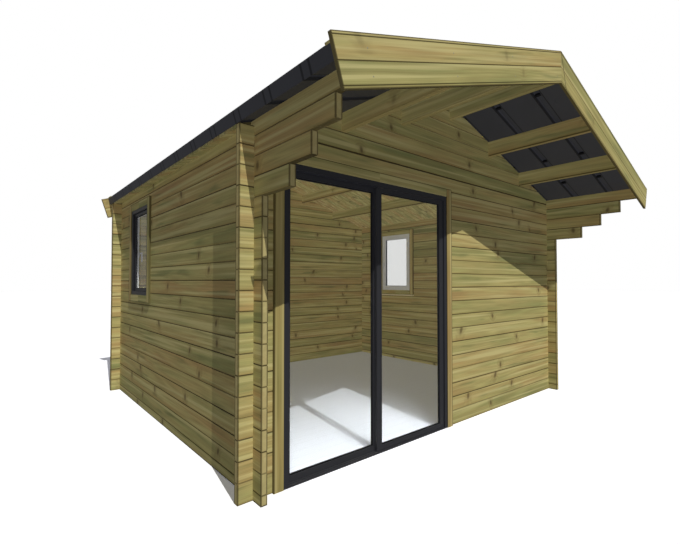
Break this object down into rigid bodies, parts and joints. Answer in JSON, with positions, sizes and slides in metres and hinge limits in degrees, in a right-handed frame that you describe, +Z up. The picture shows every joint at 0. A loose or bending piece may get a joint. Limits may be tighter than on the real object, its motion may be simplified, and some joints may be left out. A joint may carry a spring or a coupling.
{
  "type": "garden shed",
  "caption": "Log cabin garden shed with crossed log corners, a deep gable canopy on corbel logs, a black ribbed roof, a sliding patio door and side windows.",
  "frame": {"origin": "on the ground at the middle of the log rectangle", "axes": "+X to the right seen from the front, +Y to the back, +Z up"},
  "size_m": [4.645, 4.697, 3.175],
  "materials": {
    "logs": "pressure-treated pine logs, matt",
    "roof_timber": "planed pine, matt",
    "ceiling_boards": "planed pine boards, matt",
    "bargeboards": "planed pine, matt",
    "trims": "planed pine, matt",
    "floor_boards": "pale painted boards, matt",
    "roof_steel": "black coated steel, satin",
    "door_aluminium": "anthracite powder coat, satin",
    "window_frame": "anthracite outside, pale grey inside",
    "handle": "satin",
    "glass": "clear"
  },
  "bodies": {
    "shed": {"back_bargeboard_left": "bargeboards", "back_bargeboard_right": "bargeboards", "back_gable": "logs", "back_wall": "logs", "ceiling_boards_left": "ceiling_boards", "ceiling_boards_right": "ceiling_boards", "door_fixed_glass": "glass", "door_fixed_sash": "door_aluminium", "door_frame": "door_aluminium", "door_trims": "trims", "eaves_flashing_left": "roof_steel", "eaves_flashing_right": "roof_steel", "eaves_log_left": "logs", "eaves_log_right": "logs", "floor": "floor_boards", "front_bargeboard_left": "bargeboards", "front_bargeboard_right": "bargeboards", "front_gable": "logs", "front_wall_head": "logs", "front_wall_left": "logs", "front_wall_right": "logs", "purlin_left_lower": "roof_timber", "purlin_left_upper": "roof_timber", "purlin_right_lower": "roof_timber", "purlin_right_upper": "roof_timber", "ridge_cap": "roof_steel", "ridge_purlin": "roof_timber", "roof_sheet_left": "roof_steel", "roof_sheet_right": "roof_steel", "side_wall_left": "logs", "side_wall_right": "logs", "verge_battens": "bargeboards", "window_frame_left": "window_frame", "window_frame_right": "window_frame", "window_glass_left": "glass", "window_glass_right": "glass", "window_handle_left": "handle", "window_handle_right": "handle", "window_sash_left": "window_frame", "window_sash_right": "window_frame", "window_trims_left": "trims", "window_trims_right": "trims"},
    "sliding_leaf": {"door_leaf_sash": "door_aluminium", "door_leaf_glass": "glass"}
  },
  "joints": [
    {"name": "door_slide", "type": "slide", "parent": "shed", "child": "sliding_leaf", "axis": [-1, 0, 0], "range_m": [0, 0.8]}
  ]
}
